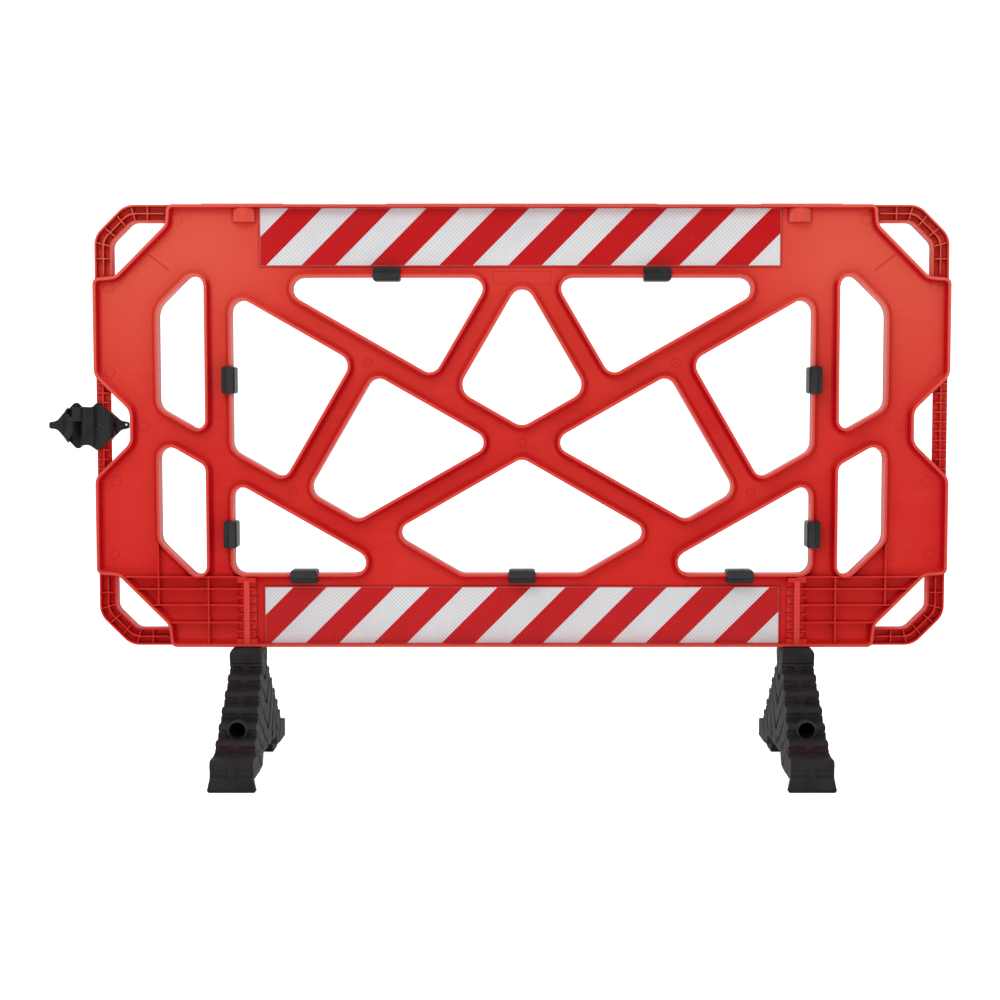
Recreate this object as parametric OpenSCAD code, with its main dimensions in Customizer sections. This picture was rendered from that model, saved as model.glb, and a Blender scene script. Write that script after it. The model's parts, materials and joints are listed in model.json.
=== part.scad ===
// Pedestrian barricade: a moulded lattice panel that stands on two swivelling
// rubber feet, with striped reflective sheets, sign clips on the lattice and a
// link connector that hooks on to the next barricade.
// The frame is in millimetres. +Z is up, the front faces -Y and the ground is z = 0.
// The origin is on the ground, midway between the outermost points left and right.

/* [Panel] */
// Width of the panel from side edge to side edge
panel_w = 1500; // [1490:1:1510]
// Height of the panel from its bottom edge to its top edge
panel_h = 775; // [772:1:778]
// Front-to-back depth of the rims
panel_depth = 46; // [40:1:50]
// Thickness of the flat web halfway between the rims' faces
web_t = 4; // [3:0.5:6]
// Thickness of the rims around the outline and the openings
rim_t = 4.5; // [4:0.5:6]
// Gap between the ground and the bottom edge of the panel
panel_lift = 219; // [219:1:223]

/* [Corner handles] */
// Width of the band that forms a handle
handle_band = 30; // [28:1:32]
// Front-to-back depth of a handle
handle_depth = 36; // [30:1:40]
// Thickness of a handle's two walls
handle_wall = 3; // [2.5:0.5:4]
// Thickness of the ribs inside a handle
handle_rib = 2.2; // [2:0.1:3]

/* [Side bars] */
// Radius of the link bar in each side recess
bar_r = 13; // [11:0.5:13]
// Distance from the panel's side edge to the bar's axis
bar_inset = 14; // [13.5:0.5:15]
// Spacing of the discs along a bar
disc_pitch = 16.6; // [15:0.1:18]
// Thickness of a disc and of the cross-shaped core
bar_wall = 2.6; // [2:0.1:3]

/* [Reflective sheets] */
// Width of a sheet
sheet_w = 911; // [900:1:920]
// Height of a sheet
sheet_h = 100; // [94:1:100]
// Thickness of the white sheet
sheet_t = 1; // [0.6:0.1:1.2]
// Thickness of the red overlay stripes
overlay_t = 0.3; // [0.2:0.1:0.4]
// Distance from one red stripe to the next, along the sheet
stripe_pitch = 120.6; // [110:0.2:130]
// Length of a red stripe along the sheet's edge
stripe_w = 59; // [50:1:65]

/* [Feet] */
// Distance from the panel's centreline to a foot's swivel axis
foot_x = 486; // [480:1:490]
// Length of a foot, front to back
foot_l = 580; // [560:1:600]
// Height of a foot
foot_h = 218; // [214:1:218]
// Width of a foot at its top
foot_top_w = 57; // [54:1:60]
// Width of a foot on the ground
foot_base_w = 83; // [78:1:84]
// Number of steps down each slope
foot_steps = 5; // [4:1:6]
// Radius of the hole in each slope
foot_hole_r = 14; // [12:0.5:15]

/* [Swivel] */
// Radius of the spigot that a foot turns on
spigot_r = 10; // [9:0.5:11]
// Radial gap between the spigot and the panel's socket
running_gap = 0.05; // [0.03:0.01:0.08]

/* [Clips and link] */
// Length of a sign clip along the rim
clip_l = 47; // [44:1:52]
// Width of a sign clip's face
clip_w = 23; // [22:1:24]
// Distance between the two bars that the link joins
link_pitch = 53; // [52:1:56]
// Height of the link at each hook
link_h = 83; // [78:1:86]
// Distance from tip to tip of the link
link_l = 139; // [136:1:139]

/* [Hidden] */
$fn = 64;

half_w = panel_w / 2;
half_d = panel_depth / 2;
web_y = web_t / 2;
eps = 0.05;                      // overlap that fuses two shapes of one moulding
deep = 200;                      // longer than anything it cuts
bar_x = half_w - bar_inset;
mid_z = panel_h / 2;
link_x = -bar_x - link_pitch / 2; // middle of the link
// The link's left tip and the panel's right edge are the outermost points.
origin_x = (half_w - link_l / 2 + link_x) / 2;

red = [0.83, 0.12, 0.09];
deep_red = [0.68, 0.04, 0.06];
black = [0.12, 0.12, 0.13];
steel = [0.72, 0.73, 0.75];
white = [0.86, 0.88, 0.9];

// ---------------------------------------------------------------- outlines
// An outline is a list of corners [x, z, radius], anticlockwise, with z
// measured from the panel's bottom edge.

function unit(v) = v / norm(v);
function corner_at(v, i) = v[(i + len(v)) % len(v)];
function flat(v) = [v[0], v[1]];
function turn(a, b) = a[0] * b[1] - a[1] * b[0];

// Arc that replaces corner i, as a run of points
function corner_arc(v, i, steps) =
    let (
        c = flat(v[i]),
        r = v[i][2],
        u = unit(flat(corner_at(v, i - 1)) - c),
        w = unit(flat(corner_at(v, i + 1)) - c),
        half = acos(u * w) / 2,
        start = c + u * (r / tan(half)),
        end = c + w * (r / tan(half)),
        centre = c + unit(u + w) * (r / sin(half)),
        a0 = atan2(start[1] - centre[1], start[0] - centre[0]),
        a1 = atan2(end[1] - centre[1], end[0] - centre[0]),
        sweep = (a1 - a0 + 540) % 360 - 180
    )
    [for (k = [0:steps]) let (a = a0 + sweep * k / steps) centre + r * [cos(a), sin(a)]];

function rounded(v, steps = 6) =
    [for (i = [0:len(v) - 1]) each (v[i][2] > 0 ? corner_arc(v, i, steps) : [flat(v[i])])];

// The outline moved outwards by d, with its corner radii kept concentric
function grown(v, d) = [
    for (i = [0:len(v) - 1])
        let (
            c = flat(v[i]),
            e1 = unit(c - flat(corner_at(v, i - 1))),
            e2 = unit(flat(corner_at(v, i + 1)) - c),
            n1 = [e1[1], -e1[0]],
            n2 = [e2[1], -e2[0]],
            moved = c + (n1 + n2) * (d / (1 + n1 * n2)),
            r = v[i][2] + (turn(e1, e2) > 0 ? d : -d)
        )
        [moved[0], moved[1], max(r, 0.4)]
];

function mirrored(v) = [for (i = [len(v) - 1:-1:0]) [-v[i][0], v[i][1], v[i][2]]];

waist_r = 26;        // rounding of the side recesses
waist_x = half_w - 62;
waist_z = 28.5;      // half height of the recess at its deepest
recess_z = 89.5;     // half height of the recess at the side edge
recess_mid = mid_z + 1;
bend_r = 22;         // soft bends of the edge beside a handle
tip_r = 11;          // rounding where the edge leaves the panel's side, top or bottom
right_edge = [
    [half_w - 130, 0, tip_r], [half_w - 126, 39, bend_r], [half_w - 38.5, 126.5, bend_r],
    [half_w, 129, tip_r], [half_w, recess_mid - recess_z, waist_r],
    [waist_x, recess_mid - waist_z, waist_r], [waist_x, recess_mid + waist_z, waist_r],
    [half_w, recess_mid + recess_z, waist_r], [half_w, panel_h - 128, tip_r],
    [half_w - 39, panel_h - 124.5, bend_r], [half_w - 128.5, panel_h - 35, bend_r],
    [half_w - 131, panel_h, tip_r]
];
body_outline = concat(right_edge, mirrored(right_edge));

// Openings of the lattice. The first group lies left of the centreline and is
// repeated on the right; the second group lies on the centreline.
bay_left_x = -509.3;
bay_top_z = 648.9;
bay_low_x = -508.6;
bay_low_z = 129.9;
slot_x = [-638, -556];
slot_upper = [[slot_x[1], 676.4, 18], [slot_x[0], 595.4, 38], [slot_x[0], 422.5, 24], [slot_x[1], 375.4, 14]];
slot_lower = [[slot_x[1], 319.9, 18], [slot_x[0], 367.1, 20], [slot_x[0], 187.3, 29], [slot_x[1], 107.3, 15]];
bay_top = [[-53.8, bay_top_z, 20], [-458, bay_top_z, 20], [-155, 476.6, 20]];
bay_left = [[-297, 502.6, 22], [bay_left_x, 623.4, 20], [bay_left_x, 348, 25], [-417.5, 296, 18]];
bay_middle = [[-47.8, 360.7, 19], [-258, 480, 20], [-377.7, 274.7, 23], [-289, 224.2, 20]];
bay_bottom = [[-219.2, bay_low_z, 20], [bay_low_x, 294.4, 17], [bay_low_x, bay_low_z, 20]];
kite_top = [[0, 649.4, 21], [-114.6, 453, 26], [0, 387.7, 25], [114.6, 453, 26]];
kite_bottom = [
    [0, 333.7, 19.5], [-230.7, 202, 18], [-105.6, bay_low_z, 32], [105.6, bay_low_z, 32], [230.7, 202, 18]
];
paired = [slot_upper, slot_lower, bay_top, bay_left, bay_middle, bay_bottom];
openings = concat(paired, [for (o = paired) mirrored(o)], [kite_top, kite_bottom]);

// ---------------------------------------------------------------- helpers
// A flat shape in x and z made into a plate of thickness t, centred front to back
module plate(t) rotate([90, 0, 0]) linear_extrude(height = t, center = true) children();
module shape(v, d = 0) polygon(rounded(d == 0 ? v : grown(v, d)));
module both_sides() { children(); mirror([1, 0, 0]) children(); }
module from_origin() translate([-origin_x, 0, 0]) children();
module at_panel() from_origin() translate([0, 0, panel_lift]) children();
module block(x, y, z) translate([x[0], y[0], z[0]]) cube([x[1] - x[0], y[1] - y[0], z[1] - z[0]]);
module outside_body() {
    difference() {
        children();
        plate(deep) shape(body_outline, -rim_t / 2);
    }
}

// ---------------------------------------------------------------- panel
module web() {
    plate(web_t) difference() {
        shape(body_outline);
        for (o = openings) shape(o);
    }
}

module rims() {
    plate(panel_depth) difference() {
        shape(body_outline);
        shape(body_outline, -rim_t);
    }
    for (o = openings) plate(panel_depth) difference() {
        shape(o, rim_t);
        shape(o);
    }
}

handle_cut = 54;       // length of the corner that the handle's outer edge cuts off
handle_round = 38;
handle_gap = 4;        // handle's edge to the panel's side edge
outer_x = half_w - handle_gap;
outer_z = panel_h - 1;
low_rise = 2.6;        // the bottom handles sit this much further in than the top ones
root_x = half_w - 140; // where a handle disappears into the body
root_z = panel_h - 135;
inner_shift = handle_band * (1 - tan(22.5));
handle_outer = [
    [root_x, outer_z, 0], [root_x, root_z, 0], [outer_x, root_z, 0],
    [outer_x, outer_z - handle_cut, handle_round], [outer_x - handle_cut, outer_z, handle_round]
];
handle_inner = [
    [root_x, outer_z - handle_band, 0], [root_x, root_z, 0], [outer_x - handle_band, root_z, 0],
    [outer_x - handle_band, outer_z - handle_cut - handle_band + inner_shift, 20],
    [outer_x - handle_cut - handle_band + inner_shift, outer_z - handle_band, 20]
];
// Cross ribs: distances of a rib's outer end from the corner, and its direction
handle_ribs = [[0, 93, 180], [0, 64, 195.5], [20, 41, 219.5], [41, 20, 230.5], [64, 0, 254.5], [93, 0, 270]];

module handle_wall_shape(d) {
    difference() {
        shape(handle_outer, -d);
        shape(handle_inner, d);
    }
}

module corner_handle() {
    plate(web_t) handle_wall_shape(0);
    plate(handle_depth) difference() {
        handle_wall_shape(0);
        handle_wall_shape(handle_wall);
    }
    plate(handle_depth - 4) intersection() {
        handle_wall_shape(0);
        union() {
            handle_wall_shape((handle_band - handle_rib) / 2);
            for (rib = handle_ribs)
                translate([outer_x - rib[0], outer_z - rib[1]]) rotate(rib[2])
                    translate([-1, -handle_rib / 2]) square([handle_band + 6, handle_rib]);
        }
    }
}
module corner_handles() {
    outside_body() both_sides() {
        corner_handle();
        translate([0, 0, panel_h + low_rise]) mirror([0, 0, 1]) corner_handle();
    }
}

bar_reach = recess_z + 6;
disc_count = floor(recess_z * 2 / disc_pitch);
disc_drop = 6.4;                     // the run of discs starts this far below the middle
bar_arm = bar_r - 0.2;               // the cross stays inside the discs' rims
module side_bar() {
    outside_body() translate([bar_x, 0, mid_z]) {
        block([-bar_arm, bar_arm], [-bar_wall / 2, bar_wall / 2], [-bar_reach, bar_reach]);
        block([-bar_wall / 2, bar_wall / 2], [-bar_arm, bar_arm], [-bar_reach, bar_reach]);
        for (k = [0:disc_count])
            translate([0, 0, (k - disc_count / 2) * disc_pitch - disc_drop])
                cylinder(r = bar_r, h = bar_wall, center = true);
    }
}

frame_w = 1.6;        // raised frame around a sheet
frame_rise = 2.4;
sheet_low = 5.5;      // lower edge of the bottom sheet
sheet_top_low = panel_h - 5.5 - sheet_h;
// The upper pair of sheets sits a little left of the centreline
function sheet_x(low) = low == sheet_top_low ? -3 : 0;
module sheet_frame(low) {
    plate(web_t + 2 * frame_rise) translate([sheet_x(low), low]) difference() {
        translate([-sheet_w / 2 - frame_w, -frame_w]) square([sheet_w + 2 * frame_w, sheet_h + 2 * frame_w]);
        translate([-sheet_w / 2, 0]) square([sheet_w, sheet_h]);
    }
}

rib_t = 2.4;
rib_depth = panel_depth - 4;
rib_levels = [43.4, 74.4, 103.1];
ledge_z = 124.2;
inner_rib_x = 553.7;                 // upright rib that ends on the lower slot's rim
outer_rib_x = 641.7;                 // upright rib that ends in the side of the body
socket_rib_pitch = 15;
module rib_grid() {
    // Ribs of the deep bottom corner, kept inside the outline
    plate(rib_depth) intersection() {
        shape(body_outline, -rim_t / 2);
        union() {
            for (z = rib_levels)
                translate([foot_x, z - rib_t / 2]) square([half_w - foot_x, rib_t]);
            translate([foot_x, ledge_z - rib_t / 2]) square([half_w - foot_x, rib_t]);
            translate([outer_rib_x - rib_t / 2, rib_levels[1]]) square([rib_t, 108]);
            translate([inner_rib_x - rib_t / 2, 1]) square([rib_t, ledge_z - 1]);
        }
    }
}

socket_r = spigot_r + 6;
socket_top = 114;
ring_z = 62;          // height of the retaining ring above the panel's bottom edge
ring_t = 2;
ring_r = 14;
module foot_socket() {
    translate([foot_x, 0, 0]) {
        cylinder(r = socket_r, h = socket_top);
        for (k = [0:5])
            translate([0, 0, 28 + k * socket_rib_pitch])
                block([-16, 16], [-rib_depth / 2, rib_depth / 2], [-rib_t / 2, rib_t / 2]);
        block([-5, 5], [-rib_depth / 2 - 1, rib_depth / 2 + 1], [rim_t / 2, socket_top + 4]);
        block([-16, 16], [-rib_depth / 2, rib_depth / 2], [socket_top, socket_top + 9]);
        block([-18, 18], [-rib_depth / 2, rib_depth / 2], [rim_t / 2, 14]);
    }
}

lamp_boss_r = 20.5;
lamp_boss_h = 30;
lamp_bore_r = 9;
pad_rise = 1;
lamp_bore_h = 24;                    // below the panel's top edge; the pad adds its rise
ring_bosses = [[-271, 500.6], [271, 500.6], [0, 360.2], [-403.6, 273.8], [403.6, 273.8]];
pads = [[-558, -416.5], [-237, 237], [416.5, 558]];
// Faint round marks that the mould's ejector pins leave on the web
ejector_marks = [[667, 390], [603, 750], [715.5, 293], [721.5, 164], [724.5, 484], [724.5, 631]];
module barrier_panel() {
    color(red) at_panel() difference() {
        union() {
            web();
            rims();
            corner_handles();
            both_sides() side_bar();
            sheet_frame(sheet_low);
            sheet_frame(sheet_top_low);
            both_sides() rib_grid();
            both_sides() foot_socket();
            both_sides() translate([foot_x, 0, panel_h - lamp_boss_h]) cylinder(r = lamp_boss_r, h = lamp_boss_h);
            for (p = pads) block(p, [-half_d + 1, half_d - 1], [panel_h - 1, panel_h + pad_rise]);
            for (b = ring_bosses) translate([b[0], 0, b[1]]) rotate([90, 0, 0])
                cylinder(r = 7, h = web_t + 2.4, center = true);
            both_sides() for (m = ejector_marks) translate([m[0], 0, m[1]]) rotate([90, 0, 0])
                cylinder(r = 8.5, h = web_t + 1.2, center = true);
        }
        for (b = ring_bosses) translate([b[0], 0, b[1]]) both_faces() rotate([90, 0, 0])
            cylinder(r = 3.6, h = 5);
        // Blank shallow recess for an owner's plate, on the front only
        block([-51, 51], [-web_y - 1, -web_y + 0.6], [panel_h - 138, panel_h - 115]);
        both_sides() translate([foot_x, 0, 0]) {
            translate([0, 0, -1]) cylinder(r = spigot_r + running_gap, h = spigot_top + 3);
            translate([0, 0, ring_z - ring_t]) cylinder(r = ring_r + 0.6, h = 3 * ring_t);
            // Window through which the retaining ring is pushed on, at the rear
            block([-ring_r - 0.6, ring_r + 0.6], [0, half_d + 2], [ring_z - ring_t, ring_z + 2 * ring_t]);
        }
        both_sides() translate([foot_x, 0, panel_h - lamp_bore_h]) cylinder(r = lamp_bore_r, h = lamp_bore_h + 5);
        for (c = clips) clip_place(c) clip_pin_hole();
    }
}
module both_faces() {
    translate([0, -web_y - 0.7, 0]) children();
    mirror([0, 1, 0]) translate([0, -web_y - 0.7, 0]) children();
}

// ---------------------------------------------------------------- sheets
function sheet_y(side, off) = side * (web_y + off);
module sheet(low, side) {
    color(white) at_panel() translate([sheet_x(low), sheet_y(side, sheet_t / 2), low]) plate(sheet_t)
        translate([-sheet_w / 2 + 0.5, 0.5]) square([sheet_w - 1, sheet_h - 1]);
}

// Red stripes that lean to the right as they rise, cut to the sheet's edges
module stripes(low, side) {
    first = -sheet_w / 2 + 51;
    color(deep_red) at_panel()
        translate([sheet_x(low), sheet_y(side, sheet_t + overlay_t / 2), low]) plate(overlay_t)
            intersection() {
                translate([-sheet_w / 2 + 0.8, 0.8]) square([sheet_w - 1.6, sheet_h - 1.6]);
                scale([-side, 1, 1]) for (k = [0:floor(sheet_w / stripe_pitch)])
                    translate([first + k * stripe_pitch, 0])
                        polygon([[-sheet_h, 0], [stripe_w - sheet_h, 0], [stripe_w, sheet_h], [0, sheet_h]]);
            }
}
module sheet_top_front() sheet(sheet_top_low, -1);
module sheet_bottom_front() sheet(sheet_low, -1);
module sheet_top_rear() sheet(sheet_top_low, 1);
module sheet_bottom_rear() sheet(sheet_low, 1);
module stripes_top_front() stripes(sheet_top_low, -1);
module stripes_bottom_front() stripes(sheet_low, -1);
module stripes_top_rear() stripes(sheet_top_low, 1);
module stripes_bottom_rear() stripes(sheet_low, 1);

// ---------------------------------------------------------------- feet
foot_half = foot_l / 2;
foot_cap = 50;                       // half length of the flat top
cap_h = 43;
toe_h = 54.5;                        // height of the block at each end
toe_l = 60;                          // length of its flat top
toe_w = foot_base_w - 9;             // its width above the flange on the ground
riser_h = (foot_h - cap_h - toe_h) / foot_steps;
tread = (foot_half - toe_l - foot_cap) / foot_steps;
riser_lean = 2;
// Step k stands between treads at step_z(k) and step_z(k + 1). Step 0 is the cap.
function step_y(k) = -foot_cap - k * tread;
function step_z(k) = foot_h - cap_h - (k - 1) * riser_h;

// Front half of the stepped side profile, from the top down, as [y, z, radius]
foot_front = concat(
    [[-foot_cap, foot_h, 7], [-foot_cap - 1, step_z(1), 4]],
    [for (k = [1:foot_steps])
        each [[step_y(k) + riser_lean, step_z(k), 9], [step_y(k), step_z(k + 1), 4]]],
    [[-foot_half + riser_lean, toe_h, 9], [-foot_half, 0, 3]]
);
arch_z = 44;
pad_l = 88;                          // length of the pad under each end
flank_z = 21;                        // the flanks stop this far above the ground
arch_reach = 118;                    // half length of the arch between the pads
foot_belly = [
    [-foot_half + pad_l, 0, 3], [-foot_half + pad_l + 6, flank_z, 5],
    [-arch_reach - 14, flank_z + 3, 8], [-arch_reach, arch_z, 8],
    [arch_reach, arch_z, 8], [arch_reach + 14, flank_z + 3, 8],
    [foot_half - pad_l - 6, flank_z, 5], [foot_half - pad_l, 0, 3]
];
foot_rear = [for (i = [len(foot_front) - 1:-1:0]) [-foot_front[i][0], foot_front[i][1], foot_front[i][2]]];

module along_x(h) rotate([90, 0, 90]) linear_extrude(height = h, center = true) children();
module along_y(h) rotate([90, 0, 0]) linear_extrude(height = h, center = true) children();
module foot_side_profile() along_x(deep) polygon(rounded(concat(foot_front, foot_belly, foot_rear), 3));

// Right half of the front profile, from the ground up, as [x, z]
foot_flank = [
    [foot_base_w / 2 - 3, 0], [foot_base_w / 2, 4], [foot_base_w / 2 - 1.5, 10], [toe_w / 2, 24],
    [toe_w / 2, toe_h], [foot_top_w / 2 + 6, toe_h + 6], [foot_top_w / 2, step_z(1)],
    [foot_top_w / 2, foot_h - 7], [foot_top_w / 2 - 4, foot_h]
];
// The whole front profile, with both flanks moved inwards by d
function foot_section(d) = concat(
    [for (p = foot_flank) [p[0] - d, p[1]]],
    [for (i = [len(foot_flank) - 1:-1:0]) [d - foot_flank[i][0], foot_flank[i][1]]]
);
module foot_front_profile() along_y(foot_l + 20) polygon(foot_section(0));

pocket_d = 2;                        // depth of a pocket
pocket_top = 8.5;                    // below the tread above it
spine_w = 13;                        // plain strip down the middle of each slope
// Pair of shallow pockets under a lip, on a face that runs from z = -top down to z = -low
module pocket_pair(top, low) {
    both_sides() intersection() {
        along_x(deep) polygon([[-20, -top], [pocket_d + riser_lean / 2, -top], [pocket_d, -low], [-20, -low]]);
        along_y(deep) polygon(rounded([
            [spine_w / 2, -low - 1, 0], [spine_w / 2, -top + 0.01, 5], [deep, -top + 0.01, 0], [deep, -low - 1, 0]
        ]));
    }
}
module slope_pockets() {
    translate([0, step_y(0) - 0.7, step_z(1)]) pocket_pair(-13, -1);
    for (k = [1:foot_steps]) translate([0, step_y(k), step_z(k)]) pocket_pair(pocket_top, riser_h - 1);
    // Flat-bottomed pair on the toe
    both_sides() translate([spine_w / 2, -foot_half, 0])
        block([0, deep], [-20, pocket_d + riser_lean], [25, 41]);
}
groove_d = 2.2;
module cap_grooves() {
    for (z = [6, 20.5, 25.5])
        translate([0, -foot_cap, foot_h - z]) block([-deep, deep], [-20, groove_d], [-1.25, 1.25]);
}

// Fir-tree grooves on the flanks: each falls from under a lip to the middle
arm_angle = 30;
flank_d = 5;                         // depth of the grooves
arm_w = [1.6, 4.6];                  // half width of a groove at its lip and at the middle
module flank_grooves() {
    for (k = [0:foot_steps])
        translate([0, step_y(k), step_z(k) - (k == 0 ? riser_h - 13 : pocket_top)]) rotate([-arm_angle, 0, 0])
            along_x(deep) polygon([
                [-6, -arm_w[0]], [-step_y(k) / cos(arm_angle), -arm_w[1]],
                [-step_y(k) / cos(arm_angle), arm_w[1]], [-6, arm_w[0]]
            ]);
}
module flank_cutter() {
    // The grooves reach in only a little way from each flank, and stop above the base
    difference() {
        union() { flank_grooves(); mirror([0, 1, 0]) flank_grooves(); }
        along_y(foot_l + 40) polygon(concat(foot_section(flank_d), [[-deep, -10], [deep, -10]]));
        block([-deep, deep], [-deep * 2, deep * 2], [-10, 26]);
    }
}

hole_y = step_y(foot_steps - 1);     // the hole's mouth is on the last step but one
hole_z = step_z(foot_steps - 1) - riser_h / 2 + 2;
base_half = 21.5;                    // half width of what stands on the ground behind the front flange
flange_l = 12;                       // length of the flange at the front
hole_ring = 3.5;                     // width of the raised ring around the mouth
hole_depth = 80;
spigot_sink = 70;                    // depth of the spigot in the foot
cross_pin_z = foot_h - 17;
cross_pin_r = 4;
washer_r = 22;
washer_sink = 2;
module slope_hole(y, r, l) translate([0, y, hole_z]) rotate([-90, 0, 0]) cylinder(r = r, h = l);
module foot() {
    difference() {
        union() {
            difference() {
                intersection() {
                    foot_side_profile();
                    foot_front_profile();
                }
                slope_pockets();
                mirror([0, 1, 0]) slope_pockets();
                cap_grooves();
                mirror([0, 1, 0]) cap_grooves();
                flank_cutter();
                both_sides() block([base_half, deep], [-foot_half + flange_l, deep * 2], [-1, flank_z]);
            }
            slope_hole(hole_y - 1, foot_hole_r + hole_ring, 30);
            mirror([0, 1, 0]) slope_hole(hole_y - 1, foot_hole_r + hole_ring, 30);
        }
        slope_hole(hole_y - 5, foot_hole_r, hole_depth);
        mirror([0, 1, 0]) slope_hole(hole_y - 5, foot_hole_r, hole_depth);
        translate([0, 0, foot_h - spigot_sink]) cylinder(r = spigot_r, h = spigot_sink + 1);
        translate([0, 0, foot_h - washer_sink]) cylinder(r = washer_r + 0.3, h = washer_sink + 1);
        translate([0, 0, cross_pin_z]) rotate([0, 90, 0]) cylinder(r = cross_pin_r, h = deep, center = true);
    }
}
module place_foot(side) from_origin() translate([side * foot_x, 0, 0]) children();
module foot_left() color(black) place_foot(-1) foot();
module foot_right() color(black) place_foot(1) foot();

spigot_top = 92;                     // top of the spigot above the panel's bottom edge
module spigot() {
    difference() {
        translate([0, 0, foot_h - spigot_sink])
            cylinder(r = spigot_r, h = spigot_sink + panel_lift - foot_h + spigot_top);
        translate([0, 0, panel_lift + ring_z - 0.05]) difference() {
            cylinder(r = spigot_r + 1, h = ring_t + 0.1);
            translate([0, 0, -1]) cylinder(r = spigot_r - 1.5, h = ring_t + 3);
        }
        translate([0, 0, cross_pin_z]) rotate([0, 90, 0]) cylinder(r = cross_pin_r, h = deep, center = true);
    }
}
module spigot_left() color(steel) place_foot(-1) spigot();
module spigot_right() color(steel) place_foot(1) spigot();

module cross_pin() {
    translate([0, 0, cross_pin_z]) rotate([0, 90, 0])
        cylinder(r = cross_pin_r, h = foot_top_w - 8, center = true);
}
module cross_pin_left() color(steel) place_foot(-1) cross_pin();
module cross_pin_right() color(steel) place_foot(1) cross_pin();

module washer() {
    translate([0, 0, foot_h - washer_sink]) difference() {
        cylinder(r = washer_r, h = washer_sink + panel_lift - foot_h - 0.05);
        translate([0, 0, -1]) cylinder(r = spigot_r + 0.4, h = 10);
    }
}
module washer_left() color(steel) place_foot(-1) washer();
module washer_right() color(steel) place_foot(1) washer();

// Snap ring in the spigot's groove. It is open towards the front.
module retaining_ring() {
    translate([0, 0, panel_lift + ring_z]) difference() {
        cylinder(r = ring_r, h = ring_t);
        translate([0, 0, -1]) cylinder(r = spigot_r - 1.4, h = ring_t + 2);
        block([-7, 7], [-deep, 0], [-1, ring_t + 1]);
    }
}
module retaining_ring_left() color(steel) place_foot(-1) retaining_ring();
module retaining_ring_right() color(steel) place_foot(1) retaining_ring();

// ---------------------------------------------------------------- link
hook_in = bar_r + running_gap;
hook_out = bar_r + 6.5;
finger_t = 5;
// Plan view of one hook, for the right half of the link. Its mouth opens to the rear.
module hook_plan() {
    translate([link_pitch / 2, 0]) {
        difference() {
            circle(r = hook_out);
            circle(r = hook_in);
            polygon([[0, 0], [40 * cos(55), 40 * sin(55)], [0, 60], [40 * cos(150), 40 * sin(150)]]);
        }
        intersection() {
            difference() {
                translate([0, 2]) square([link_l / 2 - link_pitch / 2, 9]);
                circle(r = hook_in);
            }
            translate([0, 5]) square([link_l / 2 - link_pitch / 2, finger_t]);
        }
    }
    difference() {
        translate([-1, -9]) square([link_pitch / 2, 18]);
        translate([link_pitch / 2, 0]) circle(r = hook_in);
        translate([-link_pitch / 2, 0]) circle(r = hook_in);
        translate([link_pitch / 2, 0])
            polygon([[0, 0], [40 * cos(120), 40 * sin(120)], [40 * cos(150), 40 * sin(150)]]);
    }
}
// Front view of the link: a lobe at each hook, a waist between and a finger at each end
lobe_z = link_h / 2;
tip_x = link_l / 2;
link_outline = [
    [tip_x, -5, 3], [tip_x, 6, 3], [tip_x - 14, 8.4, 14], [18, lobe_z + 0.5, 8], [6, 32.3, 10], [-15, 33, 8],
    [-25, lobe_z + 3, 8], [14 - tip_x, 8.4, 14], [-tip_x, 6, 3], [-tip_x, -5, 3], [14 - tip_x, -6.5, 14],
    [-24, -lobe_z - 2.5, 8], [-13, -34.8, 8], [0, -34.3, 10], [18, -lobe_z - 4.5, 10], [tip_x - 14, -7.5, 14]
];
link_rise = 3;                       // the link sits this far above the panel's middle
module link_connector() {
    color(black) at_panel() translate([link_x, 0, mid_z + link_rise]) difference() {
        intersection() {
            linear_extrude(height = link_h + 6, center = true) {
                hook_plan();
                rotate(180) hook_plan();
            }
            plate(deep) shape(link_outline);
        }
        translate([tip_x - 5.5, 0, 1.5]) rotate([90, 0, 0]) cylinder(r = 1.8, h = deep, center = true);
    }
}

// ---------------------------------------------------------------- sign clips
// [x, z, angle]: the middle of the clip on the opening's edge, and the turn that
// points its z axis into the opening
clips = [
    [-236.7, bay_top_z, 180], [236.7, bay_top_z, 180],
    [bay_left_x, 470, 90], [bay_low_x, 199, 90],
    [-bay_left_x, 470, -90], [-bay_low_x, 199, -90],
    [-384.7, bay_low_z, 0], [0, bay_low_z, 0], [384.7, bay_low_z, 0]
];
clip_names = ["top left", "top right", "left upper", "left lower", "right upper", "right lower",
    "bottom left", "bottom middle", "bottom right"];
clip_over = 6.5;                     // how far a clip stands into the opening
clip_face = 4.5;                     // thickness of its face plate
clip_gap = 0.1;
clip_foot = 5;
pin_r = 1.8;
pin_back = clip_w - clip_over - 6;   // hole's distance from the opening's edge
module clip_place(c) translate([c[0], 0, c[1]]) rotate([0, c[2], 0]) children();
module clip_pin_hole() {
    translate([0, 0, -pin_back]) rotate([90, 0, 0]) cylinder(r = pin_r + 0.05, h = deep, center = true);
}
clip_side = [
    [-half_d - clip_face, clip_over - 3], [-half_d - clip_face + 3, clip_over],
    [half_d + 3, clip_over], [half_d + 4, clip_over - 1], [half_d + 4, 1], [half_d + clip_gap, -3],
    [half_d + clip_gap, clip_gap], [-half_d - clip_gap, clip_gap],
    [-half_d - clip_gap, -rim_t - clip_gap], [-half_d + 6, -rim_t - clip_gap], [-half_d + 6, -rim_t - 3],
    [-half_d + 1, -rim_t - 6], [-half_d + 1, -clip_w + clip_over + clip_foot],
    [-web_y - clip_gap, -clip_w + clip_over + clip_foot + 2], [-web_y - clip_gap, -clip_w + clip_over],
    [-half_d - clip_face + 1, -clip_w + clip_over], [-half_d - clip_face, -clip_w + clip_over + 1]
];
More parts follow.
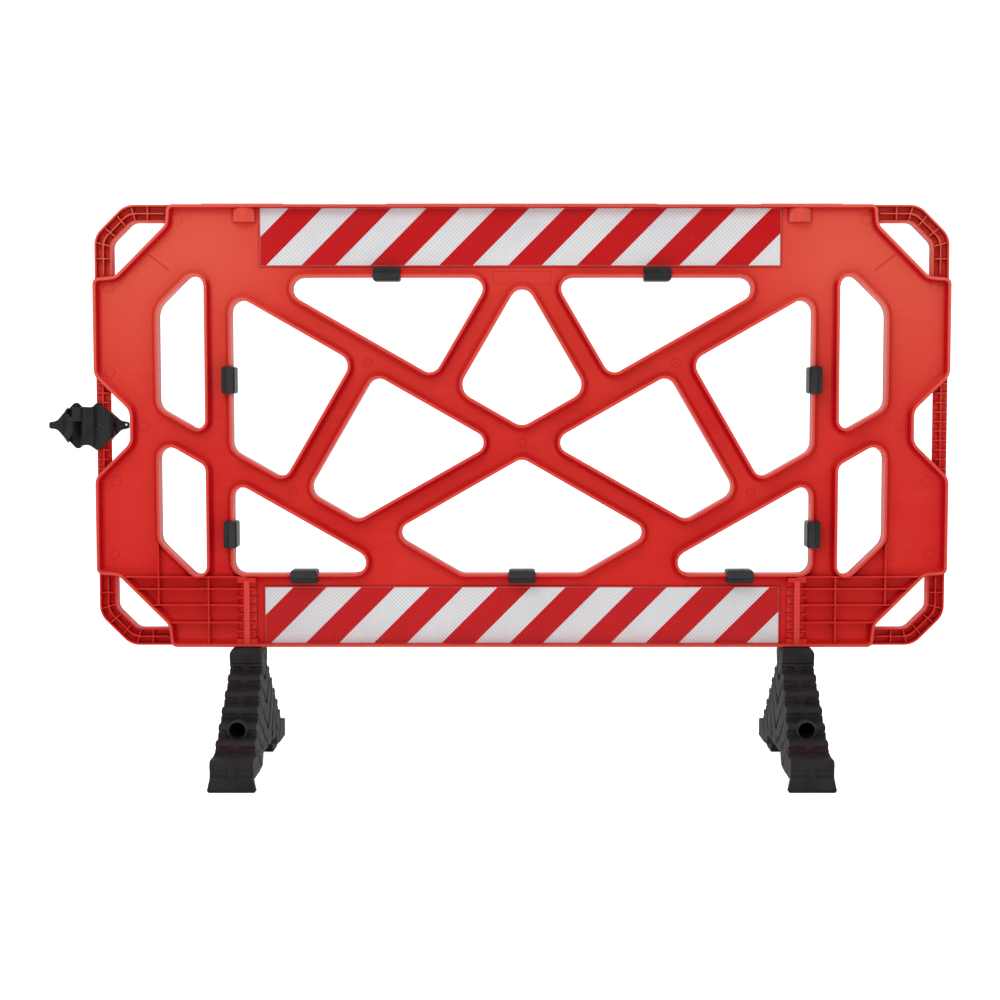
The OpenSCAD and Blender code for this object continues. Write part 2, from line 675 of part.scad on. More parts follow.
module sign_clip(c) {
    color(black) at_panel() clip_place(c) difference() {
        intersection() {
            rotate([90, 0, 90]) linear_extrude(height = clip_l, center = true) polygon(clip_side);
            plate(deep) polygon(rounded([
                [-clip_l / 2, -clip_w + clip_over, 2.5], [clip_l / 2, -clip_w + clip_over, 2.5],
                [clip_l / 2, clip_over, 4], [-clip_l / 2, clip_over, 4]
            ]));
        }
        // Shadow line across the face
        block([-deep, deep], [-half_d - clip_face - 1, -half_d - clip_face + 1], [-9, -7.6]);
        clip_pin_hole();
    }
}
module sign_clip_top_left() sign_clip(clips[0]);
module sign_clip_top_right() sign_clip(clips[1]);
module sign_clip_left_upper() sign_clip(clips[2]);
module sign_clip_left_lower() sign_clip(clips[3]);
module sign_clip_right_upper() sign_clip(clips[4]);
module sign_clip_right_lower() sign_clip(clips[5]);
module sign_clip_bottom_left() sign_clip(clips[6]);
module sign_clip_bottom_middle() sign_clip(clips[7]);
module sign_clip_bottom_right() sign_clip(clips[8]);

module clip_pins() {
    color(steel) at_panel() for (c = clips) clip_place(c)
        translate([0, -half_d - clip_face + 1, -pin_back]) rotate([-90, 0, 0])
            cylinder(r = pin_r, h = half_d + clip_face + web_y);
}

barrier_panel();
sheet_top_front();
sheet_bottom_front();
sheet_top_rear();
sheet_bottom_rear();
stripes_top_front();
stripes_bottom_front();
stripes_top_rear();
stripes_bottom_rear();
foot_left();
foot_right();
spigot_left();
spigot_right();
cross_pin_left();
cross_pin_right();
washer_left();
washer_right();
retaining_ring_left();
retaining_ring_right();
link_connector();
sign_clip_top_left();
sign_clip_top_right();
sign_clip_left_upper();
sign_clip_left_lower();
sign_clip_right_upper();
sign_clip_right_lower();
sign_clip_bottom_left();
sign_clip_bottom_middle();
sign_clip_bottom_right();
clip_pins();
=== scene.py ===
import json
import math

import bmesh
import bpy
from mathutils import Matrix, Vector, noise
from mathutils.bvhtree import BVHTree


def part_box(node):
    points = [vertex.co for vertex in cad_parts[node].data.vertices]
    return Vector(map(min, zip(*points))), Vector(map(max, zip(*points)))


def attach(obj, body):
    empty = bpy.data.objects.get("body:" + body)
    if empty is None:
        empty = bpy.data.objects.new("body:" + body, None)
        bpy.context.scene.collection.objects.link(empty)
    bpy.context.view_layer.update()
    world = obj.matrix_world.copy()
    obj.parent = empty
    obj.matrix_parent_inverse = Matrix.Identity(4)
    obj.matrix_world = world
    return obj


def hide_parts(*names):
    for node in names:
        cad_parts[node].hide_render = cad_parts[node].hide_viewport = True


# A pedestrian barricade: a moulded red lattice panel on two black rubber feet. The frame
# holds every position and size. This script adds rounded lips and sloping walls to the
# panel, soft skins for the feet and the link, soft edges for the rest, and the materials.

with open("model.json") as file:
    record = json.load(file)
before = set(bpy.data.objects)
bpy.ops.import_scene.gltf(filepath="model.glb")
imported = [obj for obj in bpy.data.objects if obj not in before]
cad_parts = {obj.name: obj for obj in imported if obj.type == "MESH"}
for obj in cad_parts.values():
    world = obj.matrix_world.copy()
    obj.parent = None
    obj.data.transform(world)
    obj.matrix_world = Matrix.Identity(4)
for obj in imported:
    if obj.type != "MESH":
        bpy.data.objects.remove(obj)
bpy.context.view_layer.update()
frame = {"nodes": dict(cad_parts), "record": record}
nodes = frame["nodes"]
scene = bpy.context.scene
MM = 0.001
JOIN = 0.002 * MM       # corners of a CAD mesh closer than this are one corner
NEAR = 0.01 * MM        # how near a corner has to be to a plane to lie on it

panel_low, panel_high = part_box("barrier_panel")
centre_x = (panel_low.x + panel_high.x) / 2
half_depth = panel_high.y


# ---------------------------------------------------------------- node trees
class Tree:
    """A material's node tree, with short calls for the nodes that the finishes share."""

    def __init__(self, name):
        self.material = bpy.data.materials.new(name)
        self.material.use_nodes = True
        self.tree = self.material.node_tree
        self.shader = self.tree.nodes["Principled BSDF"]
        self.coordinates = self.add("ShaderNodeTexCoord").outputs["Object"]

    def add(self, kind, **settings):
        node = self.tree.nodes.new(kind)
        for name, value in settings.items():
            setattr(node, name, value)
        return node

    def put(self, socket, value):
        if isinstance(value, bpy.types.NodeSocket):
            self.tree.links.new(value, socket)
        elif hasattr(socket.default_value, "__len__") and not hasattr(value, "__len__"):
            socket.default_value = [value] * len(socket.default_value)
        elif hasattr(value, "__len__") and len(value) == 3 and len(socket.default_value) == 4:
            socket.default_value = (*value, 1)
        else:
            socket.default_value = value

    def maths(self, operation, a, b=0.0, clamp=False):
        node = self.add("ShaderNodeMath", operation=operation, use_clamp=clamp)
        self.put(node.inputs[0], a)
        self.put(node.inputs[1], b)
        return node.outputs[0]

    def span(self, value, low, high, to_low=0.0, to_high=1.0):
        """value from low..high mapped smoothly on to to_low..to_high, and held there."""
        node = self.add("ShaderNodeMapRange", interpolation_type="SMOOTHSTEP")
        for socket, v in zip(node.inputs, (value, low, high, to_low, to_high)):
            self.put(socket, v)
        return node.outputs[0]

    def mix(self, share, a, b):
        node = self.add("ShaderNodeMix", data_type="RGBA")
        self.put(node.inputs[0], share)
        self.put(node.inputs[6], a)
        self.put(node.inputs[7], b)
        return node.outputs[2]

    def axes(self):
        node = self.add("ShaderNodeSeparateXYZ")
        self.put(node.inputs[0], self.coordinates)
        return node.outputs

    def stretched(self, sx, sy, sz):
        node = self.add("ShaderNodeMapping")
        self.put(node.inputs[0], self.coordinates)
        node.inputs["Scale"].default_value = (sx, sy, sz)
        return node.outputs[0]

    def noise(self, scale, detail=3.0, at=None, rough=0.55):
        node = self.add("ShaderNodeTexNoise")
        self.put(node.inputs["Vector"], at if at is not None else self.coordinates)
        node.inputs["Scale"].default_value = scale
        node.inputs["Detail"].default_value = detail
        node.inputs["Roughness"].default_value = rough
        return node.outputs["Fac"]

    def bump(self, height, distance, strength=1.0, before=None):
        node = self.add("ShaderNodeBump")
        node.inputs["Strength"].default_value = strength
        node.inputs["Distance"].default_value = distance
        self.put(node.inputs["Height"], height)
        if before is not None:
            self.put(node.inputs["Normal"], before)
        return node.outputs[0]

    def soft_edges(self, radius):
        node = self.add("ShaderNodeBevel", samples=4)
        node.inputs["Radius"].default_value = radius
        return node.outputs[0]

    def edges(self):
        """Near 0.5 on flat faces, higher on convex edges."""
        return self.add("ShaderNodeNewGeometry").outputs["Pointiness"]

    def shade(self, distance):
        """1 in the open and near 0 deep in a recess."""
        node = self.add("ShaderNodeAmbientOcclusion", samples=6)
        node.inputs["Distance"].default_value = distance
        return node.outputs["AO"]

    def normal(self):
        split = self.add("ShaderNodeSeparateXYZ")
        self.put(split.inputs[0], self.add("ShaderNodeNewGeometry").outputs["Normal"])
        return split.outputs

    def facing_y(self):
        """1 on faces that look forwards or backwards, 0 on faces that look sideways, up or down."""
        return self.maths("ABSOLUTE", self.normal()[1])

    def finish(self, colour, rough, normal, **values):
        self.put(self.shader.inputs["Base Color"], colour)
        self.put(self.shader.inputs["Roughness"], rough)
        self.put(self.shader.inputs["Normal"], normal)
        for name, value in values.items():
            self.put(self.shader.inputs[name.replace("_", " ")], value)
        return self.material


# The crease beside the left top handle: its middle, and its run for each unit of fall
CREASE_X, CREASE_Z, CREASE_SLOPE = -0.636, 0.894, 1.29
CREASE_BESIDE = CREASE_X + CREASE_SLOPE * CREASE_Z
CREASE_ALONG = CREASE_X - CREASE_Z


def red_plastic(name, walls):
    """Satin polyethylene: a painted sheen makes it lighter at the top, painted shade makes it deep
    red in recesses, and a painted highlight makes its lips pale.

    walls is True for the sloping walls beside the rims, whose painted shade is darker still.
    """
    t = Tree(name)
    x, y, z = t.axes()
    across = t.maths("SUBTRACT", x, centre_x)
    # Painted sheen: lighter towards the top, more so on the broad panels away from the middle
    sheen_aside = t.span(t.maths("ABSOLUTE", across), 0.36, 0.56, 0.35, 1.0)
    height = t.maths("MULTIPLY", t.span(z, 0.50, panel_high.z - 0.05), sheen_aside)
    colour = t.mix(height, (0.66, 0.0175, 0.0135), (0.75, 0.092, 0.055))
    # Slow cloudiness and long flow lines of the moulding
    cloud = t.noise(5.0, 3.0)
    colour = t.mix(t.span(cloud, 0.35, 0.7, 0.0, 0.16), colour, (0.82, 0.09, 0.05))
    flow = t.noise(9.0, 5.0, t.stretched(1.0, 1.0, 9.0), 0.6)
    colour = t.mix(t.span(flow, 0.55, 0.75, 0.0, 0.10), colour, (0.88, 0.15, 0.10))
    # Painted highlight: the lips of the rims are paler
    lip_highlight = t.span(t.maths("ABSOLUTE", y), half_depth - 0.0022, half_depth - 0.0006)
    colour = t.mix(t.maths("MULTIPLY", lip_highlight, 0.20), colour, (0.90, 0.22, 0.16))
    # Steep walls: painted shade makes them deep red where they stand in a recess, and a painted
    # reflection makes them pale where they face an opening
    steep = t.span(t.facing_y(), 0.35, 0.93, 1.0, 0.0)
    closed = t.span(t.shade(0.05), 0.40, 0.88, 1.0, 0.0)
    if walls:
        # Painted light: walls that face up or away from the middle get less painted shade, as if
        # they catch the light
        side = t.span(t.maths("MULTIPLY", t.normal()[0], across), -0.10, 0.16, 1.0, 0.25)
        upward = t.span(t.normal()[2], 0.1, 0.7, 1.0, 0.25)
        painted_shade = t.maths("MULTIPLY", steep, t.maths("MULTIPLY", side, upward))
        shade_red = (0.52, 0.0015, 0.008)
    else:
        painted_shade = t.maths("MULTIPLY", closed, t.maths("ADD", 0.2, t.maths("MULTIPLY", steep, 0.8)))
        # Painted reflection: steep walls open to an opening are paler
        pale = t.maths("MULTIPLY", steep, t.maths("SUBTRACT", 1.0, closed))
        colour = t.mix(t.maths("MULTIPLY", pale, 0.5), colour, (0.82, 0.40, 0.37))
        shade_red = (0.78, 0.004, 0.008)
    colour = t.mix(painted_shade, colour, shade_red)
    # Painted shade: dark lines where a boss, rib or frame meets the web
    corner = t.span(t.shade(0.004), 0.55, 0.97, 0.7, 0.0)
    colour = t.mix(corner, colour, (0.36, 0.004, 0.006))
    # Scuffs: short pale scratches, sparse
    scratch = t.noise(42.0, 8.0, t.stretched(1.0, 1.0, 0.16), 0.75)
    worn = t.span(scratch, 0.66, 0.74, 0.0, 0.20)
    colour = t.mix(worn, colour, (0.92, 0.32, 0.25))
    # Painted shade of a shallow crease beside each top handle
    mirrored = t.maths("MULTIPLY", t.maths("ABSOLUTE", across), -1)
    along = t.maths("SUBTRACT", t.maths("SUBTRACT", mirrored, z), CREASE_ALONG)
    beside = t.maths("ADD", mirrored, t.maths("MULTIPLY", z, CREASE_SLOPE))
    beside = t.maths("SUBTRACT", beside, CREASE_BESIDE)
    crease_shade = t.maths("MULTIPLY", t.span(t.maths("ABSOLUTE", beside), 0.0012, 0.0042, 1.0, 0.0),
                     t.span(t.maths("ABSOLUTE", along), 0.026, 0.038, 1.0, 0.0))
    colour = t.mix(t.maths("MULTIPLY", crease_shade, 0.6), colour, (0.55, 0.012, 0.012))
    grain = t.noise(1400.0, 2.0)
    wave = t.noise(26.0, 3.0)
    rough = t.span(t.noise(60.0, 4.0), 0.3, 0.7, 0.44, 0.58)
    normal = t.bump(grain, 0.00008, 0.5, t.soft_edges(0.0012))
    normal = t.bump(wave, 0.0006, 0.35, normal)
    return t.finish(colour, rough, normal, Specular_IOR_Level=0.16)


CELL = 7.0 * MM         # spacing of the film's cells


def reflective(name, colour, cell_colour, line_colour, smudge_colour):
    """Micro-prismatic film: rows of diamond cells between fine sealed lines, lightly smudged."""
    t = Tree(name)
    x, _, z = t.axes()
    waves = []
    for direction in (t.maths("ADD", x, z), t.maths("SUBTRACT", x, z)):
        waves.append(t.maths("COSINE", t.maths("MULTIPLY", direction, 2 * math.pi / CELL)))
    seam = t.maths("MAXIMUM", waves[0], waves[1])
    look = t.mix(t.span(seam, -0.3, 0.9), cell_colour, line_colour)
    look = t.mix(0.35, look, colour)
    # Cells catch the light unevenly, painted as glints, and grime has left slight smudges
    glint_patch = t.noise(9.0, 3.0, None, 0.6)
    look = t.mix(t.span(glint_patch, 0.45, 0.75, 0.0, 0.25), look, cell_colour)
    smudge = t.noise(55.0, 6.0, t.stretched(1.0, 1.0, 1.6), 0.7)
    rare = t.span(t.noise(7.0, 1.0), 0.55, 0.66)
    smudge = t.maths("MULTIPLY", t.span(smudge, 0.60, 0.72, 0.0, 0.45), rare)
    look = t.mix(smudge, look, smudge_colour)
    rough = t.span(glint_patch, 0.35, 0.7, 0.24, 0.38)
    normal = t.bump(seam, 0.0001, 0.25)
    return t.finish(look, rough, normal, Specular_IOR_Level=0.2, Coat_Weight=0.05,
                    Coat_Roughness=0.25)


def black_rubber():
    """Moulded recycled rubber: speckled, dull, with rusty dust on the slopes."""
    t = Tree("black_rubber")
    _, y, z = t.axes()
    cloud = t.span(t.noise(35.0, 4.0), 0.3, 0.7)
    colour = t.mix(cloud, (0.0085, 0.0085, 0.010), (0.019, 0.0185, 0.0205))
    speck = t.noise(520.0, 2.0)
    colour = t.mix(t.span(speck, 0.62, 0.72, 0.0, 0.4), colour, (0.060, 0.060, 0.063))
    reach = t.maths("ABSOLUTE", y)
    facing = t.span(t.facing_y(), 0.82, 0.95)
    low_steps = t.maths("MULTIPLY", t.span(reach, 0.196, 0.204), t.span(reach, 0.262, 0.250))
    high_steps = t.maths("MULTIPLY", t.span(z, 0.115, 0.16), t.span(z, 0.200, 0.188))
    rusty = t.span(t.noise(28.0, 3.0), 0.34, 0.62, 0.45, 1.0)
    dust = t.maths("ADD", t.maths("MULTIPLY", low_steps, 0.9),
                   t.maths("MULTIPLY", high_steps, 0.35))
    dust = t.maths("MULTIPLY", t.maths("MULTIPLY", dust, rusty), facing, True)
    colour = t.mix(dust, colour, (0.045, 0.0125, 0.0120))
    # Painted shade in the grooves and hollows
    painted_shade = t.span(t.shade(0.018), 0.45, 0.88, 0.95, 0.0)
    colour = t.mix(painted_shade, colour, (0.002, 0.002, 0.002))
    # Sharp edges are paler: rubbed grey by wear, and a painted highlight where they catch the light
    worn = t.span(t.edges(), 0.515, 0.57)
    colour = t.mix(t.maths("MULTIPLY", worn, 0.5), colour, (0.10, 0.10, 0.108))
    rough = t.span(t.noise(70.0, 3.0), 0.3, 0.7, 0.62, 0.80)
    normal = t.bump(t.noise(900.0, 2.0), 0.0002, 0.5)
    normal = t.bump(t.noise(120.0, 4.0), 0.0007, 0.4, normal)
    return t.finish(colour, rough, normal, Specular_IOR_Level=0.25)


def black_plastic():
    """Fine grained polypropylene with a soft sheen."""
    t = Tree("black_plastic")
    cloud = t.span(t.noise(30.0, 4.0), 0.3, 0.7)
    colour = t.mix(cloud, (0.0065, 0.0068, 0.0078), (0.013, 0.0135, 0.0155))
    scuff = t.noise(90.0, 6.0, t.stretched(1.0, 1.0, 0.3), 0.7)
    colour = t.mix(t.span(scuff, 0.62, 0.75, 0.0, 0.4), colour, (0.075, 0.075, 0.08))
    rough = t.span(t.noise(50.0, 3.0), 0.3, 0.7, 0.38, 0.52)
    # Painted shade in hollows and recesses
    painted_shade = t.span(t.shade(0.025), 0.45, 0.9, 0.9, 0.0)
    colour = t.mix(painted_shade, colour, (0.002, 0.002, 0.002))
    # Sharp edges are paler: worn, and a painted highlight where they catch the light
    worn = t.span(t.edges(), 0.53, 0.63)
    colour = t.mix(t.maths("MULTIPLY", worn, 0.3), colour, (0.05, 0.05, 0.055))
    normal = t.bump(t.noise(1600.0, 2.0), 0.0001, 0.5, t.soft_edges(0.0006))
    return t.finish(colour, rough, normal, Specular_IOR_Level=0.35)


def steel():
    """Zinc plated steel, turned: fine rings round the vertical and a faint yellow cast."""
    t = Tree("steel")
    colour = t.mix(t.noise(40.0, 4.0), (0.48, 0.48, 0.47), (0.66, 0.65, 0.60))
    rings = t.noise(60.0, 4.0, t.stretched(1.0, 1.0, 60.0), 0.7)
    rough = t.span(rings, 0.3, 0.7, 0.26, 0.44)
    return t.finish(colour, rough, t.bump(rings, 0.00005, 0.5), Metallic=1.0)


finishes = {
    "red_plastic": red_plastic("red_plastic", False),
    "white_reflective": reflective("white_reflective", (0.76, 0.76, 0.76), (0.53, 0.58, 0.64),
                                   (0.84, 0.84, 0.84), (0.60, 0.58, 0.56)),
    "red_reflective": reflective("red_reflective", (0.58, 0.003, 0.006), (0.40, 0.0015, 0.004),
                                 (0.62, 0.010, 0.012), (0.68, 0.11, 0.09)),
    "black_rubber": black_rubber(),
    "black_plastic": black_plastic(),
    "steel": steel(),
}
# A shaded copy of the red plastic, with darker painted shade, for the sloping walls
shaded_wall_finish = red_plastic("red_plastic_shaded_walls", True)
for part in frame["record"]["subparts"]:
    obj = nodes[part["node"]]
    obj.data.materials.clear()
    obj.data.materials.append(finishes[part["material_slot"]])


# ---------------------------------------------------------------- mesh helpers
def new_piece(name, bm, body, slot, *stands_for):
    """A mesh object made from bm, riding on a body, that may stand for CAD nodes."""
    mesh = bpy.data.meshes.new(name)
    bm.to_mesh(mesh)
    bm.free()
    piece = bpy.data.objects.new(name, mesh)
    scene.collection.objects.link(piece)
    mesh.materials.append(finishes[slot])
    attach(piece, body)
    if stands_for:
        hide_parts(*stands_for)
    return piece


def copy_of(node):
    """The CAD node's mesh with its doubled corners joined."""
    bm = bmesh.new()
    bm.from_mesh(nodes[node].data)
    bmesh.ops.remove_doubles(bm, verts=bm.verts, dist=JOIN)
    return bm


def remeshed(bm, voxel, passes):
    """bm as one even skin of quads, with its edges softened by smoothing passes."""
    mesh = bpy.data.meshes.new("work")
    bm.to_mesh(mesh)
    bm.free()
    work = bpy.data.objects.new("work", mesh)
    scene.collection.objects.link(work)
    skin = work.modifiers.new("skin", "REMESH")
    skin.mode = "VOXEL"
    skin.voxel_size = voxel
    soft = work.modifiers.new("soft", "SMOOTH")
    soft.factor = 0.5
    soft.iterations = passes
    evaluated = work.evaluated_get(bpy.context.evaluated_depsgraph_get())
    result = bmesh.new()
    result.from_mesh(evaluated.to_mesh())
    evaluated.to_mesh_clear()
    bpy.data.objects.remove(work)
    for face in result.faces:
        face.smooth = True
    return result


def soften(node, width):
    """Welds and bevels a CAD node with modifiers; its own mesh stays as packed."""
    weld = nodes[node].modifiers.new("weld", "WELD")
    weld.merge_threshold = JOIN
    bevel = nodes[node].modifiers.new("bevel", "BEVEL")
    bevel.width = width
    bevel.segments = 3
    bevel.limit_method = "ANGLE"
    bevel.angle_limit = math.radians(35)
    bevel.harden_normals = True


# ---------------------------------------------------------------- panel
LIP = 1.2 * MM          # rounding of the rims' lips


def on_plane(edge, y):
    return all(abs(abs(v.co.y) - y) < NEAR for v in edge.verts)


def panel_moulding():
    """The panel with rounded lips on every rim."""
    bm = copy_of("barrier_panel")
    lips = [e for e in bm.edges if on_plane(e, half_depth)
            and len(e.link_faces) == 2 and e.calc_face_angle(0) > 1.0]
    bmesh.ops.bevel(bm, geom=lips, offset=LIP, segments=3, profile=0.5, affect="EDGES",
                    clamp_overlap=True)
    return new_piece("panel_moulding", bm, "panel", "red_plastic", "barrier_panel")


def rim_loops():
    """Closed loops of (x, z) points round the rims' front faces, rim on the left."""
    bm = copy_of("barrier_panel")
    following, directed = {}, set()
    for face in bm.faces:
        if all(abs(v.co.y + half_depth) < NEAR for v in face.verts):
            for loop in face.loops:
                directed.add((loop.vert.index, loop.link_loop_next.vert.index))
    for a, b in directed:
        if (b, a) not in directed:
            following.setdefault(a, []).append(b)
    points = {v.index: (v.co.x, v.co.z) for v in bm.verts}
    bm.free()
    loops = []
    while following:
        start = min(following)
        at, ring = start, []
        while at in following:
            ring.append(points[at])
            after = following[at].pop()
            if not following[at]:
                del following[at]
            at = after
        loops.append(ring)
    return loops


def resampled(ring, step):
    """The ring with extra points, so that none of its sides is longer than step."""
    result = []
    for i, a in enumerate(ring):
        b = ring[(i + 1) % len(ring)]
        parts = max(1, math.ceil(math.dist(a, b) / step))
        for k in range(parts):
            result.append((a[0] + (b[0] - a[0]) * k / parts, a[1] + (b[1] - a[1]) * k / parts))
    return result


def outward(ring, i):
    """Mitred direction that points away from the rim at point i."""
    n = len(ring)
    sides = []
    for a, b in ((ring[i - 1], ring[i]), (ring[i], ring[(i + 1) % n])):
        d = math.dist(a, b)
        sides.append(Vector(((b[1] - a[1]) / d, -(b[0] - a[0]) / d)))
    total = sides[0] + sides[1]
    return total / max(0.4, 1 + sides[0].dot(sides[1]))


# Section of the sloping wall between a rim and the web: (mm from the rim, share of the
# panel's half depth)
DRAFT = [(-0.6, 0.93), (0.2, 0.93), (1.5, 0.65), (2.9, 0.41), (4.4, 0.21), (5.8, 0.125),
         (7.4, 0.083), (7.4, 0.03), (-0.6, 0.03)]
NARROW = 0.22           # share of the width that is left beside a sheet's frame


def panel_drafts():
    """Sloping walls that run from the rims down to the web, on both faces."""
    solid = copy_of("barrier_panel")
    tree = BVHTree.FromBMesh(solid)
    solid.free()
    sheet_low, sheet_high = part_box("sheet_bottom_front")
    top_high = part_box("sheet_top_front")[1]
    bm = bmesh.new()
    for ring in rim_loops():
        xs = [p[0] for p in ring]
        if max(xs) - min(xs) > panel_high.x - panel_low.x - 2 * MM:
            continue        # the panel's own silhouette
        ring = resampled(ring, 6 * MM)
        rows = []
        for i, (px, pz) in enumerate(ring):
            away = outward(ring, i)
            probe = Vector((px + away.x * 4 * MM, -1, pz + away.y * 4 * MM))
            hit = tree.ray_cast(probe, Vector((0, 1, 0)))[0]
            web = hit is not None and abs(hit.y) < half_depth - 1 * MM
            near_sheet = sheet_low.x - 0.01 < px < sheet_high.x + 0.01 and (
                pz < sheet_low.z or pz > top_high.z)
            rows.append((px, pz, away, web, NARROW if near_sheet else 1.0))
        sweep(bm, rows)
    for face in bm.faces:
        face.smooth = True
    drafts = new_piece("panel_drafts", bm, "panel", "red_plastic")
    drafts.data.materials[0] = shaded_wall_finish


def sweep(bm, rows):
    """Sweeps the DRAFT section along the stretches of a ring that border the web."""
    n = len(rows)
    if not any(r[3] for r in rows):
        return
    start = 0
    closed = all(r[3] for r in rows)
    if not closed:
        start = next(i for i in range(n) if rows[i][3] and not rows[i - 1][3])
    for side in (-1, 1):
        run = []
        for k in range(n + 1):
            px, pz, away, web, width = rows[(start + k) % n]
            if k == n and not closed:
                web = False
            if web:
                run.append([
                    bm.verts.new((px + away.x * d * MM * width, side * share * half_depth,
                                  pz + away.y * d * MM * width))
                    for d, share in DRAFT])
            if (not web or k == n) and len(run) > 1:
                skin_run(bm, run, closed, side)
            if not web:
                run = []


def skin_run(bm, run, closed, side):
    if closed:
        for v in run.pop():
            bm.verts.remove(v)
    count = len(DRAFT)
    pairs = list(zip(run, run[1:])) + ([(run[-1], run[0])] if closed else [])
    for a, b in pairs:
        for j in range(count):
            quad = (a[j], a[(j + 1) % count], b[(j + 1) % count], b[j])
            bm.faces.new(quad if side > 0 else reversed(quad))
    if not closed:
        bm.faces.new(run[0] if side < 0 else reversed(run[0]))
        bm.faces.new(reversed(run[-1]) if side < 0 else run[-1])


panel_moulding()
panel_drafts()

# ---------------------------------------------------------------- clips
for name in nodes:
    if name.startswith("sign_clip"):
        soften(name, 0.9 * MM)
    if name.startswith(("spigot", "washer", "cross_pin", "retaining", "clip_pins")):
        soften(name, 0.3 * MM)


# ---------------------------------------------------------------- feet
FOOT_VOXEL = 1.1 * MM


def foot(side):
    """A rubber foot: the CAD foot with softened edges and a slightly uneven skin."""
    node = f"foot_{side}"
    bm = remeshed(copy_of(node), FOOT_VOXEL, 1)
    bm.normal_update()
    for v in bm.verts:
        push = 0.22 * MM * noise.noise(v.co * 90)
        if v.co.z > 2 * MM:
            v.co += v.normal * push
        v.co.z = max(v.co.z, 0)
    return new_piece(f"rubber_foot_{side}", bm, f"{side}_foot", "black_rubber", node)


foot("left")
foot("right")


# ---------------------------------------------------------------- link
# Plans of the two fingers that hold the neighbour's bar on the left, in mm from the link's
# middle, and the half height of the first one above each of its points
FACET = [(-45.5, -5), (-43, -12), (-35.5, -18.6), (-26, -19.8),
         (-26, -16.6), (-33, -14.8), (-38, -10), (-41, -4)]
FACET_ENDS = [14, 20, 22, 11, 11, 22, 20, 14]
LUMP = [(-28, -19), (-20, -18.4), (-14, -14.5), (-9, -9),
        (-14, -8), (-18, -13.2), (-22, -15.2), (-28, -15)]
LUMP_Z = (9, 33)


def bell(d, width):
    return math.exp(-(d / width) ** 2)


def prism(bm, centre, plan, spans):
    """A closed block over a plan, with its own span of heights at each corner."""
    rows = []
    for end in (0, 1):
        rows.append([bm.verts.new(centre + Vector((x, y, span[end])) * MM)
                     for (x, y), span in zip(plan, spans)])
    low, high = rows
    bm.faces.new(low)
    bm.faces.new(reversed(high))
    for i in range(len(plan)):
        j = (i + 1) % len(plan)
        bm.faces.new((low[j], low[i], high[i], high[j]))


def front_relief(x, z):
    """Ridges, a ring and a thin rib on the front of the middle and the right hook, in mm."""
    fade = 1 - min(1, max(0, (abs(z) - 24) / 10))
    rise = bell(x + 1, 1.6) + fade * bell(x - 18, 1.6)
    rise += 2.2 * bell(math.dist((x, z), (19, -1)) - 2.6, 1.0)
    rise += 1.8 * bell(math.dist((x, z), (9, -1)), 1.5)
    if 9 < x < 62:
        rise += 2.4 * bell(z + 2.2, 1.1)
    return rise


def link():
    """The link connector: one soft moulding with its fingers and small reliefs."""
    low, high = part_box("link_connector")
    middle = (low + high) / 2
    bm = copy_of("link_connector")
    prism(bm, middle, FACET, [(-h, h) for h in FACET_ENDS])
    prism(bm, middle, LUMP, [LUMP_Z] * len(LUMP))
    bmesh.ops.recalc_face_normals(bm, faces=bm.faces)
    bm = remeshed(bm, 0.75 * MM, 3)
    bm.normal_update()
    for v in bm.verts:
        x, _, z = (v.co - middle) / MM
        if v.normal.y < -0.3 and x > -8:
            v.co.y -= front_relief(x, z) * MM
    return new_piece("link_moulding", bm, "link", "black_plastic", "link_connector")


link()


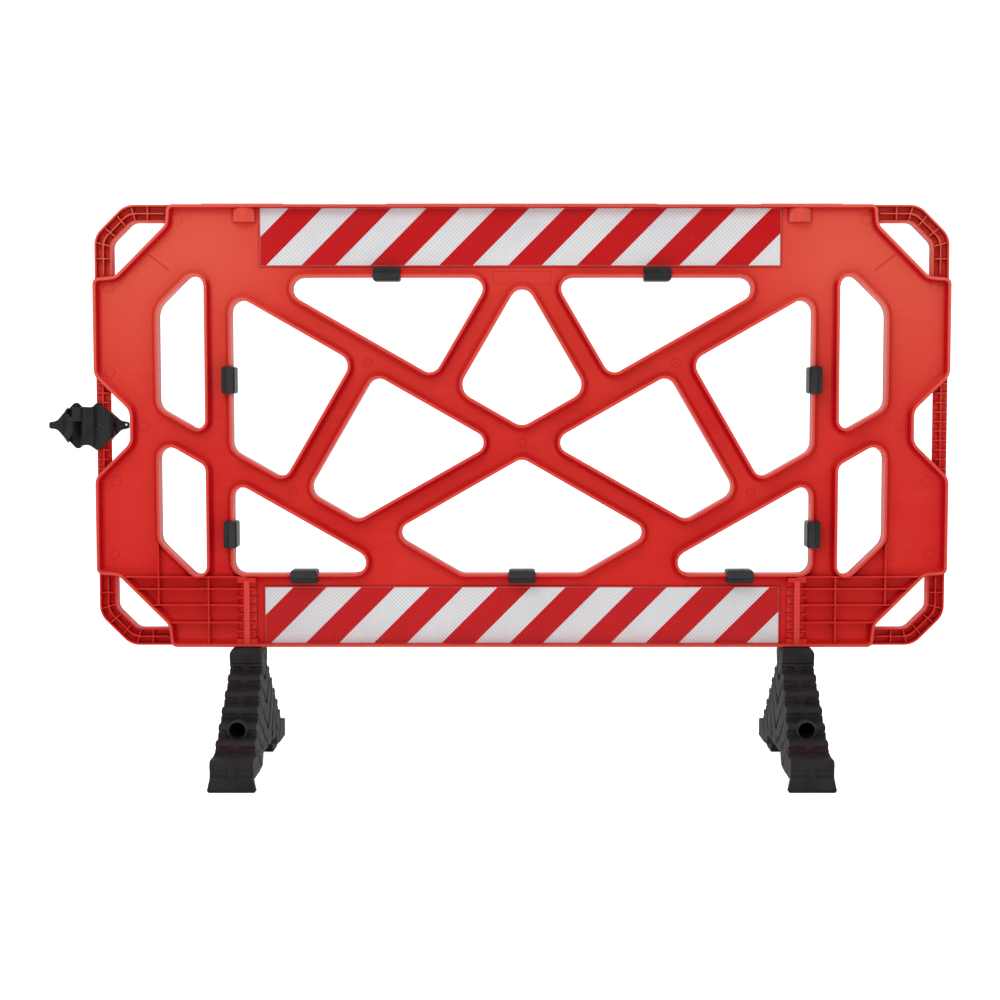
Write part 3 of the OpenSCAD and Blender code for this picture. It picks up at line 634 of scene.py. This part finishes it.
# ---------------------------------------------------------------- studio
def floor():
    """A wide pale sheet that rises behind the object."""
    front, back, bend, top, half_width, drop = -12, 6, 3, 14, 14, 0.5 * MM
    steps = 12
    curve = [(front, 0), (back, 0)]
    for k in range(1, steps + 1):
        a = math.radians(90 * k / steps)
        curve.append((back + bend * math.sin(a), bend - bend * math.cos(a)))
    curve.append((back + bend, top))
    bm = bmesh.new()
    rows = [[bm.verts.new((x, y, z - drop)) for x in (-half_width, half_width)]
            for y, z in curve]
    for a, b in zip(rows, rows[1:]):
        bm.faces.new((a[0], a[1], b[1], b[0])).smooth = True
    mesh = bpy.data.meshes.new("floor")
    bm.to_mesh(mesh)
    bm.free()
    t = Tree("studio_floor")
    white = t.span(t.noise(3.0, 2.0), 0.3, 0.7, 0.90, 0.92)
    t.put(t.shader.inputs["Base Color"], t.mix(white, (0, 0, 0), (1, 1, 1)))
    t.put(t.shader.inputs["Roughness"], 0.9)
    t.put(t.shader.inputs["Emission Color"], (1, 1, 1))
    seen = t.add("ShaderNodeLightPath").outputs["Is Camera Ray"]
    t.put(t.shader.inputs["Emission Strength"], t.span(seen, 0.0, 1.0, FLOOR_LIGHT, 0.95))
    mesh.materials.append(t.material)
    sheet = bpy.data.objects.new("floor", mesh)
    scene.collection.objects.link(sheet)


def area_light(name, place, target, size, power):
    light = bpy.data.lights.new(name, "AREA")
    light.shape = "RECTANGLE"
    light.size, light.size_y = size
    light.energy = power
    lamp = bpy.data.objects.new(name, light)
    scene.collection.objects.link(lamp)
    lamp.visible_camera = False
    lamp.location = place
    lamp.rotation_euler = (Vector(target) - Vector(place)).to_track_quat("-Z", "Y").to_euler()


def camera():
    """In front of the panel, a little above its middle, far off, and tipped down."""
    data = bpy.data.cameras.new("camera")
    data.sensor_width = 36
    data.lens = 2.5436 * data.sensor_width
    data.shift_x = -0.02195
    data.shift_y = 0.1377
    cam = bpy.data.objects.new("camera", data)
    scene.collection.objects.link(cam)
    cam.location = (centre_x, -4.5, 0.667)
    cam.rotation_euler = (math.radians(90 - 5.5), 0, 0)
    scene.camera = cam


# What the surroundings and the floor give as light; the camera sees both as white
WORLD_LIGHT = 0.30
FLOOR_LIGHT = 0.36
floor()
camera()
world = bpy.data.worlds.new("studio")
scene.world = world
world.use_nodes = True
sky = world.node_tree.nodes["Background"].inputs
sky["Color"].default_value = (1, 1, 1, 1)
path = world.node_tree.nodes.new("ShaderNodeLightPath")
seen = world.node_tree.nodes.new("ShaderNodeMapRange")
seen.inputs["To Min"].default_value = WORLD_LIGHT
seen.inputs["To Max"].default_value = 1.0
world.node_tree.links.new(path.outputs["Is Camera Ray"], seen.inputs["Value"])
world.node_tree.links.new(seen.outputs[0], sky["Strength"])
area_light("key", (centre_x - 1.2, -3.6, 3.4), (centre_x, 0, 0.5), (3.0, 2.0), 75)
area_light("top", (centre_x, -0.4, 3.4), (centre_x, 0, 0.5), (3.4, 1.6), 38)
area_light("fill", (centre_x + 3.2, -3.0, 1.4), (centre_x, 0, 0.5), (2.0, 2.0), 13)
scene.view_settings.view_transform = "Standard"
